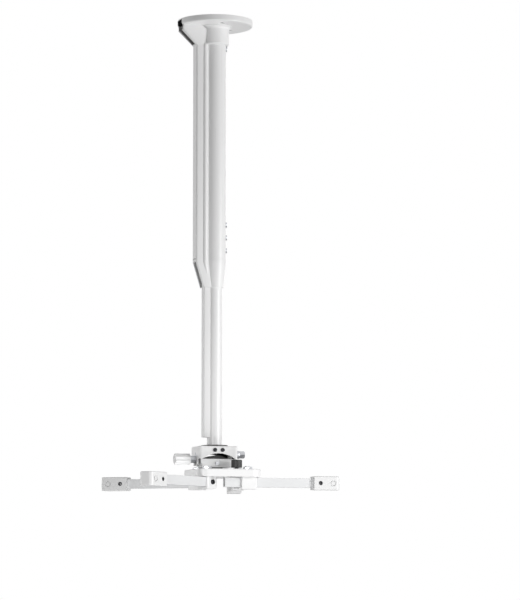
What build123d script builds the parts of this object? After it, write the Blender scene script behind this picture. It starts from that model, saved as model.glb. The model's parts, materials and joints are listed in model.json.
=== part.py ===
from build123d import *
from math import cos, radians, sin, sqrt
import os

os.makedirs("parts", exist_ok=True)

# A telescopic ceiling mount for a projector. The origin is the middle of the ceiling plate's upper face,
# +Z points up into the ceiling, +X to the right and +Y to the back. The cables run down the -X side.
# All lengths are in millimetres.

# Clearances
fit_gap = 0.05
slide_gap = 0.3
seat_gap = 0.1
edge_tolerance = 0.01

# Ceiling plate
plate_diameter = 126.0
plate_thickness = 10.0
plate_edge_radius = 2.5
plate_hole_circle = 76.0
plate_hole_count = 3
plate_hole_diameter = 6.5
plate_head_diameter = 11.0
plate_hole_angle = -90.0
notch_roof = 2.0

# Socket that carries the column
flange_width = 5.5
flange_thickness = 1.0
collar_wall = 5.0
collar_length = 31.5
collar_edge_radius = 2.5
flange_fillet = 5.0
core_length = 42.0
core_wall = 3.5

# Fixed upper column
outer_tube_diameter = 36.5
outer_tube_wall = 2.5
outer_tube_length = 392.2
cover_width = 22.0
cover_crown = 1.0
cover_reach = 35.6
cover_wall = 2.0
cover_corner = 3.0
cover_bead_radius = 4.5
cover_bead_sink = 1.5
cover_bead_gap = 1.5

# Cable funnel under the plate
funnel_width = 27.0
funnel_crown = 0.6
funnel_reach = 60.5
funnel_mouth = 9.0
funnel_lip = 2.0
funnel_wall = 2.0
funnel_corner = 3.0
funnel_bead_fade = 14.0
funnel_bead_end = 2.0
cable_exit_width = 15.0

# Tapered collar at the foot of the upper column
taper_height = 48.1
taper_skirt = 6.0
taper_wall = 1.3
taper_spigot = 8.0
taper_bead_radius = 2.5

# Guide sleeve and the screws that clamp the inner tube
guide_wall = 3.25
sleeve_length = 56.6
clamp_screw_count = 3
clamp_screw_pitch = 21.6
clamp_screw_rise = 7.0
screw_shank_diameter = 5.8
screw_head_diameter = 9.0
screw_head_height = 3.0
screw_socket_width = 4.0
screw_socket_depth = 2.0
screw_spot_depth = 0.65
socket_screw_drop = 4.5

# Sliding lower column, as drawn out in its rest pose
inner_tube_wall = 2.0
inner_tube_length = 403.0
rest_drop = 262.3
strip_width = 14.0
strip_crown = 1.2
strip_reach = 21.0
strip_wall = 1.5
strip_corner = 2.5
strip_stop = 13.3
strip_setback = 5.0
strip_gap = 0.6

# Spigot at the foot of the inner tube
spigot_plug_length = 26.0
spigot_neck_diameter = 16.0
spigot_flange_diameter = 26.0
spigot_flange_height = 5.0
spigot_pin_diameter = 4.0
spigot_pin_rise = 17.0

# Swivelling yoke
washer_diameter = 44.0
washer_thickness = 2.0
yoke_width = 66.0
yoke_depth = 50.0
yoke_wall = 3.0
yoke_top = 4.0
yoke_corner = 4.0
yoke_edge_radius = 2.0
yoke_wall_height = 21.0
yoke_leg_height = 32.0
yoke_leg_depth = 24.0
yoke_leg_corner = 4.0
arch_chord = 56.0
arch_rise = 8.8
yaw_screw_spacing = 13.0
yaw_screw_diameter = 5.0
yaw_screw_head_diameter = 6.6
yaw_screw_head_height = 1.6
yaw_screw_clearance = 2.2

# Pitch cradle
pitch_drop = 13.0
pitch_pin_diameter = 6.0
pitch_range = 15.0
pitch_washer_diameter = 14.0
pitch_washer_thickness = 1.6
pitch_nut_diameter = 13.5
pitch_nut_height = 18.0
cradle_depth = 34.0
cradle_wall = 3.0
cradle_height = 14.0
cradle_flank = 6.0
cradle_foot_width = 48.0
cradle_ear_width = 14.0
cradle_window_width = 28.0
cradle_window_depth = 26.0

# Pitch lock on the left
lock_radius = 8.5
lock_notch_gap = 1.5
lock_bolt_diameter = 5.0
lock_collar_diameter = 12.0
lock_collar_length = 9.5
lock_knob_diameter = 19.0
lock_knob_length = 26.0
lock_knob_lobes = 6
lock_knob_lobe_radius = 2.6
lock_knob_edge = 1.5

# Roll saddle
roll_pin_diameter = 7.0
roll_pin_rise = 7.0
roll_pin_proud = 1.5
saddle_width = 44.0
saddle_depth = 27.0
saddle_flank = 6.0
saddle_crown = 8.0
saddle_neck_width = 22.0
saddle_neck_depth = 20.0
saddle_clearance = 3.0

# Hub tray
hub_gap = 3.0
hub_shift = 14.0
hub_length = 112.0
hub_depth = 96.0
hub_height = 13.0
hub_wall = 3.0
hub_corner = 18.0
hub_edge_radius = 1.5
hub_bolt_diameter = 4.0
hub_bolt_head_diameter = 7.0
hub_bolt_head_height = 3.5
hub_bolt_depth = 8.0
hub_bolt_spacing_x = 13.0
hub_bolt_spacing_y = 12.0
pivot_inset_x = 21.0
pivot_inset_y = 20.0

# Release knob on the hub
release_x = 27.0
release_y = -37.0
release_knob_diameter = 18.0
release_knob_height = 13.0
release_knob_lift = 2.0
release_stem_diameter = 6.0
release_stem_below = 4.0
release_flutes = 18
release_flute_radius = 0.8

# Arms: a sleeve turns under the hub and a bar with a foot slides in it
sleeve_block_length = 26.0
sleeve_wall = 3.7
sleeve_corner = 2.0
sleeve_pin_diameter = 10.0
sleeve_pin_proud = 5.0
sleeve_nut_width = 14.0
sleeve_nut_height = 4.0
sleeve_floor = 3.2
side_screw_diameter = 5.0
side_screw_head_diameter = 8.0
side_screw_head_height = 3.0
bar_clearance = 1.0
bar_width = 12.0
bar_height = 15.5
bar_wall = 1.8
bar_length = 152.0
foot_length = 45.0
foot_width = 24.0
foot_height = 22.5
foot_corner = 6.0
foot_edge = 1.0
foot_tongue = 20.0
foot_tongue_gap = 0.1
foot_bore_diameter = 5.5
foot_bore_offset = 10.0
foot_ring_outer = 10.0
foot_ring_inner = 6.4
foot_ring_depth = 1.0
foot_screw_offset = 11.5
foot_screw_diameter = 7.0
foot_screw_depth = 4.0
foot_screw_socket = 3.5

# Distance from an arm's pivot to the middle of its foot, and its direction in degrees from +X
near_left_reach = 158.8
near_left_direction = 220.2
far_left_reach = 143.1
far_left_direction = 145.8
near_right_reach = 134.0
near_right_direction = -1.8
far_right_reach = 143.4
far_right_direction = 74.8

# Heights worked out from the sizes above
plate_bottom = -plate_thickness
collar_bottom = plate_bottom - collar_length
funnel_bottom = collar_bottom - funnel_lip
outer_tube_bottom = plate_bottom - outer_tube_length
taper_bottom = outer_tube_bottom - taper_height
sleeve_bottom = outer_tube_bottom + taper_spigot
tube_end = taper_bottom - rest_drop
inner_tube_top = tube_end + inner_tube_length
yoke_top_z = tube_end - seat_gap - washer_thickness
yoke_ceiling_z = yoke_top_z - yoke_top
pitch_z = yoke_top_z - pitch_drop
yoke_wall_z = yoke_top_z - yoke_wall_height
yoke_leg_z = yoke_top_z - yoke_leg_height
lock_z = pitch_z - lock_radius
cradle_top_z = yoke_wall_z
cradle_bottom_z = cradle_top_z - cradle_height
roll_z = cradle_bottom_z + roll_pin_rise
hub_top_z = cradle_bottom_z - hub_gap
hub_plate_z = hub_top_z - hub_wall
hub_bottom_z = hub_top_z - hub_height

# Radii and half widths worked out from the sizes above
outer_tube_radius = outer_tube_diameter / 2
outer_tube_bore = outer_tube_radius - outer_tube_wall
collar_diameter = outer_tube_diameter + 2 * collar_wall
flange_diameter = collar_diameter + 2 * flange_width
inner_tube_diameter = outer_tube_diameter - 2 * (outer_tube_wall + guide_wall)
inner_tube_radius = inner_tube_diameter / 2
inner_tube_bore = inner_tube_radius - inner_tube_wall
cable_slot_width = cover_width - 2 * cover_wall
cover_bead_x = outer_tube_radius + cover_bead_gap
cover_bead_y = cover_width / 2 - cover_bead_sink
notch_width = funnel_width - 2 * funnel_wall
leg_inner_x = yoke_width / 2 - yoke_wall
cradle_width = 2 * (leg_inner_x - pitch_washer_thickness - seat_gap)
bar_top_z = hub_bottom_z - bar_clearance
bar_middle_z = bar_top_z - bar_height / 2
sleeve_block_width = bar_width + 2 * slide_gap + 2 * sleeve_wall
pivot_x = hub_length / 2 - pivot_inset_x
pivot_y = hub_depth / 2 - pivot_inset_y
pivots = {
    "near_left": (hub_shift - pivot_x, -pivot_y),
    "far_left": (hub_shift - pivot_x, pivot_y),
    "near_right": (hub_shift + pivot_x, -pivot_y),
    "far_right": (hub_shift + pivot_x, pivot_y),
}
arms = [
    ("near_left", near_left_direction, near_left_reach),
    ("far_left", far_left_direction, far_left_reach),
    ("near_right", near_right_direction, near_right_reach),
    ("far_right", far_right_direction, far_right_reach),
]


def side_plane(x, y, z):
    """Upright plane that faces +X at the given point, with its x axis to the back."""
    return Plane(origin=(x, y, z), x_dir=(0, 1, 0), z_dir=(1, 0, 0))


def column_flank(x, z):
    """Upright plane that faces +X, x from the column's axis at height z."""
    return side_plane(x, 0, z)


def front_plane(x, y, z):
    """Upright plane that faces the front at the given point, with its x axis to the right."""
    return Plane(origin=(x, y, z), x_dir=(1, 0, 0), z_dir=(0, -1, 0))


def arm_level(base, z):
    """Level plane at height z on an arm's pivot, with its x axis along the arm."""
    return base.offset(z)


def arm_end(base, along, z):
    """Upright plane across an arm that faces outward, with its y axis up."""
    return Plane(origin=base.from_local_coords((along, 0, z)), x_dir=base.y_dir, z_dir=base.x_dir)


def arm_flank(base, along, aside, z):
    """Upright plane along an arm that faces its left side, with its y axis up."""
    return Plane(origin=base.from_local_coords((along, aside, z)), x_dir=-base.x_dir, z_dir=base.y_dir)


def crowned_outline(reach, width, crown, corner):
    """Closed outline from the axis out to -X, with crowned flanks and rounded outer corners."""
    with BuildSketch() as outline:
        with BuildLine():
            Line((-reach, width / 2), (-reach, -width / 2))
            ThreePointArc((-reach, -width / 2), (-reach / 2, -width / 2 - crown), (0, -width / 2))
            Line((0, -width / 2), (0, width / 2))
            ThreePointArc((0, width / 2), (-reach / 2, width / 2 + crown), (-reach, width / 2))
        make_face()
        fillet(outline.vertices().group_by(Axis.X)[0], corner)
    return outline.sketch


# Ceiling plate: a thick disc with countersunk fixing holes and a notch where the cables leave
with BuildPart() as ceiling_plate:
    with BuildSketch(Plane.XY.offset(plate_bottom)):
        Circle(plate_diameter / 2)
    extrude(amount=plate_thickness)
    fillet(ceiling_plate.edges().group_by(Axis.Z)[0], plate_edge_radius)
    with BuildSketch(Plane.XY.offset(plate_bottom)):
        with Locations((-plate_diameter / 2, 0)):
            Rectangle(plate_diameter - flange_diameter, notch_width)
    extrude(amount=plate_thickness - notch_roof, mode=Mode.SUBTRACT)
    hole_face = Plane(origin=(0, 0, plate_bottom), x_dir=(1, 0, 0), z_dir=(0, 0, -1))
    with Locations(hole_face):
        with PolarLocations(plate_hole_circle / 2, plate_hole_count, start_angle=-plate_hole_angle):
            CounterSinkHole(plate_hole_diameter / 2, plate_head_diameter / 2, depth=plate_thickness)
ceiling_plate.part.label = "ceiling_plate"
export_step(ceiling_plate.part, "parts/ceiling_plate.step")

# Column socket: a collar outside the tube that flares out against the plate
with BuildPart() as column_socket:
    with BuildSketch(Plane.XY.offset(plate_bottom)):
        Circle(flange_diameter / 2)
        Circle(outer_tube_radius + fit_gap, mode=Mode.SUBTRACT)
    extrude(amount=-flange_thickness)
    with BuildSketch(Plane.XY.offset(plate_bottom)):
        Circle(collar_diameter / 2)
        Circle(outer_tube_radius + fit_gap, mode=Mode.SUBTRACT)
    extrude(amount=-collar_length)
    flange_edges = column_socket.edges().filter_by(GeomType.CIRCLE)
    flange_level = plate_bottom - flange_thickness
    inner_corner = flange_edges.filter_by_position(
        Axis.Z, flange_level - edge_tolerance, flange_level + edge_tolerance
    )
    fillet(inner_corner.sort_by(SortBy.RADIUS)[0], flange_fillet)
    fillet(column_socket.edges().group_by(Axis.Z)[0].sort_by(SortBy.RADIUS)[-1], collar_edge_radius)
column_socket.part.label = "column_socket"
export_step(column_socket.part, "parts/column_socket.step")

# Socket core: the ring inside the tube that the socket screw pulls on
with BuildPart() as socket_core:
    with BuildSketch(Plane.XY.offset(plate_bottom)):
        Circle(outer_tube_bore - fit_gap)
        Circle(outer_tube_bore - fit_gap - core_wall, mode=Mode.SUBTRACT)
    extrude(amount=-core_length)
    with BuildSketch(column_flank(0, collar_bottom - socket_screw_drop)):
        Circle(screw_shank_diameter / 2)
    extrude(amount=outer_tube_radius, mode=Mode.SUBTRACT)
socket_core.part.label = "socket_core"
export_step(socket_core.part, "parts/socket_core.step")

# Outer tube: a slotted extrusion, open towards the cable cover, with seats for the side screws
side_screw_levels = [
    sleeve_bottom + clamp_screw_rise + index * clamp_screw_pitch for index in range(clamp_screw_count)
]
socket_screw_level = collar_bottom - socket_screw_drop
spot_face = outer_tube_radius - screw_spot_depth
with BuildPart() as outer_tube:
    with BuildSketch(Plane.XY.offset(outer_tube_bottom)):
        Circle(outer_tube_radius)
        Circle(outer_tube_bore, mode=Mode.SUBTRACT)
        with Locations((-outer_tube_radius, 0)):
            Rectangle(outer_tube_diameter / 2, cable_slot_width, mode=Mode.SUBTRACT)
    extrude(amount=outer_tube_length)
    for level in side_screw_levels + [socket_screw_level]:
        with BuildSketch(column_flank(0, level)):
            Circle(screw_shank_diameter / 2)
        extrude(amount=outer_tube_diameter, mode=Mode.SUBTRACT)
        with BuildSketch(column_flank(spot_face, level)):
            Circle(screw_head_diameter / 2 + seat_gap)
        extrude(amount=outer_tube_diameter, mode=Mode.SUBTRACT)
outer_tube.part.label = "outer_tube"
export_step(outer_tube.part, "parts/outer_tube.step")

# Upper cable cover: a U-shaped strip with a bead along each flank that closes the slot over the cables
with BuildPart() as upper_cable_cover:
    with BuildSketch(Plane.XY.offset(outer_tube_bottom)):
        add(crowned_outline(cover_reach, cover_width, cover_crown, cover_corner))
        with Locations((-cover_bead_x, -cover_bead_y), (-cover_bead_x, cover_bead_y)):
            Circle(cover_bead_radius)
        with Locations((-(cover_reach - cover_wall) / 2, 0)):
            Rectangle(cover_reach - cover_wall, cable_slot_width, mode=Mode.SUBTRACT)
        Circle(outer_tube_radius + fit_gap, mode=Mode.SUBTRACT)
    extrude(amount=funnel_bottom - outer_tube_bottom)
upper_cable_cover.part.label = "upper_cable_cover"
export_step(upper_cable_cover.part, "parts/upper_cable_cover.step")

# Cable funnel: a hood, slit along its slope, that leads the cables from the cover out to the plate's rim
mouth_z = plate_bottom - funnel_mouth
with BuildPart() as cable_funnel:
    with BuildSketch(Plane.XY.offset(funnel_bottom)):
        add(crowned_outline(cover_reach, cover_width, cover_crown, funnel_corner))
    with BuildSketch(Plane.XY.offset(mouth_z)):
        add(crowned_outline(funnel_reach, funnel_width, funnel_crown, funnel_corner))
    loft()
    with BuildSketch(Plane.XY.offset(mouth_z)):
        add(crowned_outline(funnel_reach, funnel_width, funnel_crown, funnel_corner))
    extrude(amount=funnel_mouth)
    for flank in (-1, 1):
        with BuildSketch(Plane.XY.offset(funnel_bottom)):
            with Locations((-cover_bead_x, flank * cover_bead_y)):
                Circle(cover_bead_radius)
        with BuildSketch(Plane.XY.offset(funnel_bottom + funnel_bead_fade)):
            with Locations((-cover_bead_x, flank * cover_bead_y)):
                Circle(funnel_bead_end)
        loft()
    with BuildSketch(Plane.XY.offset(funnel_bottom)):
        with Locations((-(cover_reach - funnel_wall) / 2, 0)):
            Rectangle(cover_reach - funnel_wall, cable_slot_width)
    with BuildSketch(Plane.XY.offset(mouth_z)):
        with Locations((-(funnel_reach - funnel_wall) / 2, 0)):
            Rectangle(funnel_reach - funnel_wall, notch_width)
    loft(mode=Mode.SUBTRACT)
    with BuildSketch(Plane.XY.offset(mouth_z)):
        with Locations((-funnel_reach / 2, 0)):
            Rectangle(funnel_reach, notch_width)
    extrude(amount=funnel_mouth, mode=Mode.SUBTRACT)
    with BuildSketch(Plane.XY.offset(plate_bottom)):
        Circle(flange_diameter / 2 + seat_gap)
    extrude(amount=-flange_thickness - seat_gap, mode=Mode.SUBTRACT)
    with BuildSketch(Plane.XY.offset(flange_level - seat_gap)):
        Circle(flange_diameter / 2 + seat_gap)
    with BuildSketch(Plane.XY.offset(flange_level - flange_fillet - seat_gap)):
        Circle(collar_diameter / 2 + seat_gap)
    loft(mode=Mode.SUBTRACT)
    with BuildSketch(Plane.XY.offset(plate_bottom)):
        Circle(collar_diameter / 2 + seat_gap)
    extrude(amount=-collar_length - seat_gap, mode=Mode.SUBTRACT)
    with BuildSketch(Plane.XY.offset(plate_bottom)):
        Circle(outer_tube_radius + fit_gap)
    extrude(amount=funnel_bottom, mode=Mode.SUBTRACT)
    with BuildSketch(Plane.XY.offset(collar_bottom)):
        with Locations((-(funnel_reach + outer_tube_radius) / 2, 0)):
            Rectangle(funnel_reach - outer_tube_radius, cable_exit_width)
    extrude(amount=mouth_z - collar_bottom, mode=Mode.SUBTRACT)
cable_funnel.part.label = "cable_funnel"
export_step(cable_funnel.part, "parts/cable_funnel.step")

# Guide sleeve: the plastic liner in which the inner tube slides
with BuildPart() as guide_sleeve:
    with BuildSketch(Plane.XY.offset(sleeve_bottom)):
        Circle(outer_tube_bore - fit_gap)
        Circle(inner_tube_radius + fit_gap, mode=Mode.SUBTRACT)
        with Locations((-outer_tube_radius, 0)):
            Rectangle(outer_tube_diameter, cable_slot_width, mode=Mode.SUBTRACT)
    extrude(amount=sleeve_length)
    for level in side_screw_levels:
        with BuildSketch(column_flank(0, level)):
            Circle(screw_shank_diameter / 2)
        extrude(amount=outer_tube_diameter, mode=Mode.SUBTRACT)
guide_sleeve.part.label = "guide_sleeve"
export_step(guide_sleeve.part, "parts/guide_sleeve.step")

# Column clamp screws: socket screws in a row that press on the inner tube
with BuildPart() as column_clamp_screws:
    for level in side_screw_levels:
        with BuildSketch(column_flank(spot_face, level)):
            Circle(screw_head_diameter / 2)
        extrude(amount=screw_head_height)
        with BuildSketch(column_flank(inner_tube_radius + slide_gap, level)):
            Circle(screw_shank_diameter / 2 - fit_gap)
        extrude(amount=spot_face - inner_tube_radius - slide_gap)
        with BuildSketch(column_flank(spot_face + screw_head_height, level)):
            RegularPolygon(screw_socket_width / 2, 6, major_radius=False)
        extrude(amount=-screw_socket_depth, mode=Mode.SUBTRACT)
column_clamp_screws.part.label = "column_clamp_screws"
export_step(column_clamp_screws.part, "parts/column_clamp_screws.step")

# Socket screw: holds the outer tube on the socket's core
core_bore = outer_tube_bore - fit_gap - core_wall
with BuildPart() as socket_screw:
    with BuildSketch(column_flank(spot_face, socket_screw_level)):
        Circle(screw_head_diameter / 2)
    extrude(amount=screw_head_height)
    with BuildSketch(column_flank(core_bore, socket_screw_level)):
        Circle(screw_shank_diameter / 2 - fit_gap)
    extrude(amount=spot_face - core_bore)
    with BuildSketch(column_flank(spot_face + screw_head_height, socket_screw_level)):
        RegularPolygon(screw_socket_width / 2, 6, major_radius=False)
    extrude(amount=-screw_socket_depth, mode=Mode.SUBTRACT)
socket_screw.part.label = "socket_screw"
export_step(socket_screw.part, "parts/socket_screw.step")

# Taper collar: lofts from the upper column's outline to the lower one's, slit where the cables leave
passage_radius = inner_tube_radius + strip_gap
passage_reach = strip_reach + strip_gap
passage_width = strip_width + 2 * (strip_crown + strip_gap)
taper_end_reach = passage_reach + taper_wall
taper_end_width = passage_width + 2 * taper_wall
taper_skirt_z = outer_tube_bottom - taper_skirt
with BuildPart() as taper_collar:
    with BuildSketch(Plane.XY.offset(outer_tube_bottom)):
        Circle(outer_tube_radius)
    extrude(amount=-taper_skirt)
    with BuildSketch(Plane.XY.offset(taper_skirt_z)):
        Circle(outer_tube_radius)
    with BuildSketch(Plane.XY.offset(taper_bottom)):
        Circle(passage_radius + taper_wall)
    loft()
    with BuildSketch(Plane.XY.offset(outer_tube_bottom)):
        add(crowned_outline(cover_reach, cover_width, cover_crown, cover_corner))
        with Locations((-cover_bead_x, -cover_bead_y), (-cover_bead_x, cover_bead_y)):
            Circle(cover_bead_radius)
    extrude(amount=-taper_skirt)
    for flank in (-1, 1):
        with BuildSketch(Plane.XY.offset(taper_skirt_z)):
            with Locations((-cover_bead_x, flank * cover_bead_y)):
                Circle(cover_bead_radius)
        with BuildSketch(Plane.XY.offset(taper_bottom)):
            with Locations((-inner_tube_radius, flank * strip_width / 2)):
                Circle(taper_bead_radius)
        loft()
    with BuildSketch(Plane.XY.offset(taper_skirt_z)):
        add(crowned_outline(cover_reach, cover_width, cover_crown, cover_corner))
    with BuildSketch(Plane.XY.offset(taper_bottom)):
        add(crowned_outline(taper_end_reach, taper_end_width, strip_crown, strip_corner))
    loft()
    with BuildSketch(Plane.XY.offset(outer_tube_bottom)):
        with Locations((-(cover_reach - cover_wall) / 2, 0)):
            Rectangle(cover_reach - cover_wall, cable_slot_width)
    with BuildSketch(Plane.XY.offset(taper_bottom)):
        with Locations((-passage_reach / 2, 0)):
            Rectangle(passage_reach, passage_width)
    loft(mode=Mode.SUBTRACT)
    with BuildSketch(Plane.XY.offset(outer_tube_bottom)):
        Circle(outer_tube_bore - fit_gap)
    extrude(amount=taper_spigot)
    with BuildSketch(Plane.XY.offset(taper_bottom)):
        Circle(passage_radius)
    extrude(amount=taper_height + taper_spigot, mode=Mode.SUBTRACT)
    with BuildSketch(Plane.XY.offset(taper_bottom)):
        with Locations((-passage_reach / 2, 0)):
            Rectangle(passage_reach, passage_width)
    extrude(amount=taper_height + taper_spigot, mode=Mode.SUBTRACT)
    with BuildSketch(Plane.XY.offset(outer_tube_bottom)):
        with Locations((-outer_tube_radius, 0)):
            Rectangle(outer_tube_diameter, cable_slot_width)
    extrude(amount=taper_spigot, mode=Mode.SUBTRACT)
    with BuildSketch(Plane.XY.offset(taper_bottom)):
        with Locations((-(cover_reach + inner_tube_radius) / 2, 0)):
            Rectangle(cover_reach - inner_tube_radius, cable_exit_width)
    extrude(amount=taper_skirt_z - taper_bottom, mode=Mode.SUBTRACT)
taper_collar.part.label = "taper_collar"
export_step(taper_collar.part, "parts/taper_collar.step")

# Inner tube: slides up and down in the guide sleeve
spigot_pin_level = tube_end + spigot_pin_rise
with BuildPart() as inner_tube:
    with BuildSketch(Plane.XY.offset(tube_end)):
        Circle(inner_tube_radius)
        Circle(inner_tube_bore, mode=Mode.SUBTRACT)
    extrude(amount=inner_tube_length)
    with BuildSketch(column_flank(0, spigot_pin_level)):
        Circle(spigot_pin_diameter / 2)
    extrude(amount=inner_tube_diameter, both=True, mode=Mode.SUBTRACT)
inner_tube.part.label = "inner_tube"
export_step(inner_tube.part, "parts/inner_tube.step")

# Lower cable cover: a narrower strip clipped to the inner tube
strip_end = tube_end + strip_stop
strip_length = inner_tube_top - strip_setback - strip_end
with BuildPart() as lower_cable_cover:
    with BuildSketch(Plane.XY.offset(strip_end)):
        add(crowned_outline(strip_reach, strip_width, strip_crown, strip_corner))
        with Locations((-(strip_reach - strip_wall) / 2, 0)):
            Rectangle(strip_reach - strip_wall, strip_width - 2 * strip_wall, mode=Mode.SUBTRACT)
        Circle(inner_tube_radius + fit_gap, mode=Mode.SUBTRACT)
    extrude(amount=strip_length)
lower_cable_cover.part.label = "lower_cable_cover"
export_step(lower_cable_cover.part, "parts/lower_cable_cover.step")

# Spigot: plugs the inner tube, and its neck and flange carry the swivelling yoke
spigot_neck_length = tube_end - yoke_ceiling_z + seat_gap
with BuildPart() as spigot:
    with BuildSketch(Plane.XY.offset(tube_end)):
        Circle(inner_tube_bore - fit_gap)
    extrude(amount=spigot_plug_length)
    with BuildSketch(Plane.XY.offset(tube_end)):
        Circle(spigot_neck_diameter / 2)
    extrude(amount=-spigot_neck_length)
    with BuildSketch(Plane.XY.offset(tube_end - spigot_neck_length)):
        Circle(spigot_flange_diameter / 2)
    extrude(amount=-spigot_flange_height)
    with BuildSketch(column_flank(0, spigot_pin_level)):
        Circle(spigot_pin_diameter / 2)
    extrude(amount=inner_tube_diameter, both=True, mode=Mode.SUBTRACT)
spigot.part.label = "spigot"
export_step(spigot.part, "parts/spigot.step")

# Spigot pin: a cross pin through the tube and the spigot
with BuildPart() as spigot_pin:
    with BuildSketch(column_flank(0, spigot_pin_level)):
        Circle(spigot_pin_diameter / 2 - fit_gap)
    extrude(amount=inner_tube_radius - seat_gap, both=True)
spigot_pin.part.label = "spigot_pin"
export_step(spigot_pin.part, "parts/spigot_pin.step")

# Swivel washer: a black disc between the tube's end and the yoke
with BuildPart() as swivel_washer:
    with BuildSketch(Plane.XY.offset(yoke_top_z)):
        Circle(washer_diameter / 2)
        Circle(spigot_neck_diameter / 2 + fit_gap, mode=Mode.SUBTRACT)
    extrude(amount=washer_thickness)
swivel_washer.part.label = "swivel_washer"
export_step(swivel_washer.part, "parts/swivel_washer.step")

# Yoke: a cast bridge with arched front and back walls, a leg on the right and a gap for one on the left
with BuildPart() as yoke:
    with BuildSketch(Plane.XY.offset(yoke_leg_z)) as yoke_outline:
        Rectangle(yoke_width, yoke_depth)
        fillet(yoke_outline.vertices(), yoke_corner)
    extrude(amount=yoke_leg_height)
    fillet(yoke.edges().group_by(Axis.Z)[-1], yoke_edge_radius)
    with BuildSketch(Plane.XY.offset(yoke_leg_z)):
        Rectangle(yoke_width - 2 * yoke_wall, yoke_depth - 2 * yoke_wall)
    extrude(amount=yoke_leg_height - yoke_top, mode=Mode.SUBTRACT)
    with BuildSketch(Plane.XY.offset(yoke_leg_z)):
        Rectangle(yoke_width, yoke_depth)
        Rectangle(yoke_width, yoke_leg_depth, mode=Mode.SUBTRACT)
    extrude(amount=yoke_wall_z - yoke_leg_z, mode=Mode.SUBTRACT)
    leg_corners = yoke.edges().filter_by(Axis.X).group_by(Axis.Z)[0]
    fillet(leg_corners, yoke_leg_corner)
    with BuildSketch(front_plane(0, 0, yoke_wall_z)):
        with BuildLine():
            Line((-arch_chord / 2, 0), (arch_chord / 2, 0))
            ThreePointArc((arch_chord / 2, 0), (0, arch_rise), (-arch_chord / 2, 0))
        make_face()
    extrude(amount=yoke_depth, both=True, mode=Mode.SUBTRACT)
    with Locations(Plane.XY.offset(yoke_top_z)):
        Hole(spigot_neck_diameter / 2 + fit_gap, depth=yoke_top)
    with BuildSketch(side_plane(0, 0, pitch_z)):
        Circle(pitch_pin_diameter / 2 + fit_gap)
    extrude(amount=yoke_width, both=True, mode=Mode.SUBTRACT)
    with BuildSketch(side_plane(-leg_inner_x, 0, yoke_leg_z)):
        with Locations((0, (yoke_ceiling_z - yoke_leg_z) / 2)):
            Rectangle(yoke_leg_depth + 2 * fit_gap, yoke_ceiling_z - yoke_leg_z)
    extrude(amount=-yoke_wall, mode=Mode.SUBTRACT)
    yaw_screw_z = yoke_ceiling_z - seat_gap - spigot_flange_height / 2
    with BuildSketch(front_plane(0, 0, yaw_screw_z)):
        with GridLocations(yaw_screw_spacing, 0, 2, 1):
            Circle(yaw_screw_diameter / 2)
    extrude(amount=yoke_depth, mode=Mode.SUBTRACT)
yoke.part.label = "yoke"
export_step(yoke.part, "parts/yoke.step")

# Lock leg: a plate let into the yoke's left side, with a notch for the lock bolt that is open below
lock_leg_top_z = yoke_ceiling_z - fit_gap
lock_notch_z = lock_z + lock_bolt_diameter / 2 + lock_notch_gap
lock_notch_width = lock_bolt_diameter + 2 * (lock_radius * sin(radians(pitch_range)) + lock_notch_gap)
with BuildPart() as lock_leg:
    with BuildSketch(side_plane(-leg_inner_x, 0, yoke_leg_z)) as leg_outline:
        with Locations((0, (lock_leg_top_z - yoke_leg_z) / 2)):
            Rectangle(yoke_leg_depth, lock_leg_top_z - yoke_leg_z)
        fillet(leg_outline.vertices().group_by(Axis.Y)[0], yoke_leg_corner)
        with Locations((0, (lock_notch_z - yoke_leg_z) / 2)):
            Rectangle(lock_notch_width, lock_notch_z - yoke_leg_z, mode=Mode.SUBTRACT)
        with Locations((0, pitch_z - yoke_leg_z)):
            Circle(pitch_pin_diameter / 2 + fit_gap, mode=Mode.SUBTRACT)
    extrude(amount=-yoke_wall)
lock_leg.part.label = "lock_leg"
export_step(lock_leg.part, "parts/lock_leg.step")

# Yaw lock screws: two black screws in the yoke's front wall that bear on the spigot's flange
yaw_screw_tip = sqrt(spigot_flange_diameter ** 2 - yaw_screw_spacing ** 2) / 2 + yaw_screw_clearance
with BuildPart() as yaw_lock_screws:
    with BuildSketch(front_plane(0, -yoke_depth / 2, yaw_screw_z)):
        with GridLocations(yaw_screw_spacing, 0, 2, 1):
            Circle(yaw_screw_head_diameter / 2)
    extrude(amount=yaw_screw_head_height)
    with BuildSketch(front_plane(0, -yaw_screw_tip, yaw_screw_z)):
        with GridLocations(yaw_screw_spacing, 0, 2, 1):
            Circle(yaw_screw_diameter / 2 - fit_gap)
    extrude(amount=yoke_depth / 2 - yaw_screw_tip)
yaw_lock_screws.part.label = "yaw_lock_screws"
export_step(yaw_lock_screws.part, "parts/yaw_lock_screws.step")

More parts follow.
